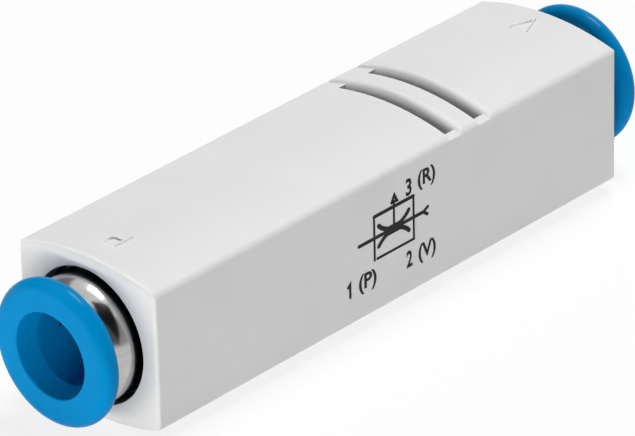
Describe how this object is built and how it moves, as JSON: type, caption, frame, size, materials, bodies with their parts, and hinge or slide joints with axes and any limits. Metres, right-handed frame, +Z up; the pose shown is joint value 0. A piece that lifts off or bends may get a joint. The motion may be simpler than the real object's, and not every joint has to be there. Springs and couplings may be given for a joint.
{
  "type": "vacuum ejector",
  "caption": "Inline vacuum ejector: light grey box body with a blue push-in tube port at each end and exhaust gills in its crowned top.",
  "frame": {"origin": "middle of the lowest line of the crowned underside, half way along the body and across its width", "axes": "+X along the body towards the vacuum port, +Y towards the plain side, +Z up towards the exhaust gills"},
  "size_m": [0.0612, 0.014, 0.0136],
  "materials": {
    "body_plastic": "fine matt moulded polymer, light grey",
    "collar_metal": "polished nickel-plated brass",
    "ring_plastic": "satin blue acetal",
    "claw_steel": "stainless spring steel sheet",
    "spacer_plastic": "natural acetal",
    "seal_rubber": "black nitrile rubber",
    "jet_brass": "turned brass",
    "nozzle_plastic": "moulded acetal",
    "silencer_foam": "porous sintered polyethylene"
  },
  "bodies": {
    "body": {"housing": "body_plastic", "jet_nozzle": "jet_brass", "jet_o_ring": "seal_rubber", "receiver_nozzle": "nozzle_plastic", "receiver_o_ring": "seal_rubber", "silencer": "silencer_foam", "supply_collar": "collar_metal", "supply_claw": "claw_steel", "supply_spacer": "spacer_plastic", "supply_lip_seal": "seal_rubber", "supply_collar_o_ring": "seal_rubber", "vacuum_collar": "collar_metal", "vacuum_claw": "claw_steel", "vacuum_spacer": "spacer_plastic", "vacuum_lip_seal": "seal_rubber", "vacuum_collar_o_ring": "seal_rubber"},
    "supply_ring": {"supply_release_ring": "ring_plastic"},
    "vacuum_ring": {"vacuum_release_ring": "ring_plastic"}
  },
  "joints": [
    {"name": "supply_ring_slide", "type": "slide", "parent": "body", "child": "supply_ring", "axis": [1, 0, 0], "range_m": [0, 0.00055], "stiffness_N_per_m": 400, "springref_m": -0.002},
    {"name": "vacuum_ring_slide", "type": "slide", "parent": "body", "child": "vacuum_ring", "axis": [-1, 0, 0], "range_m": [0, 0.00055], "stiffness_N_per_m": 400, "springref_m": -0.002}
  ]
}
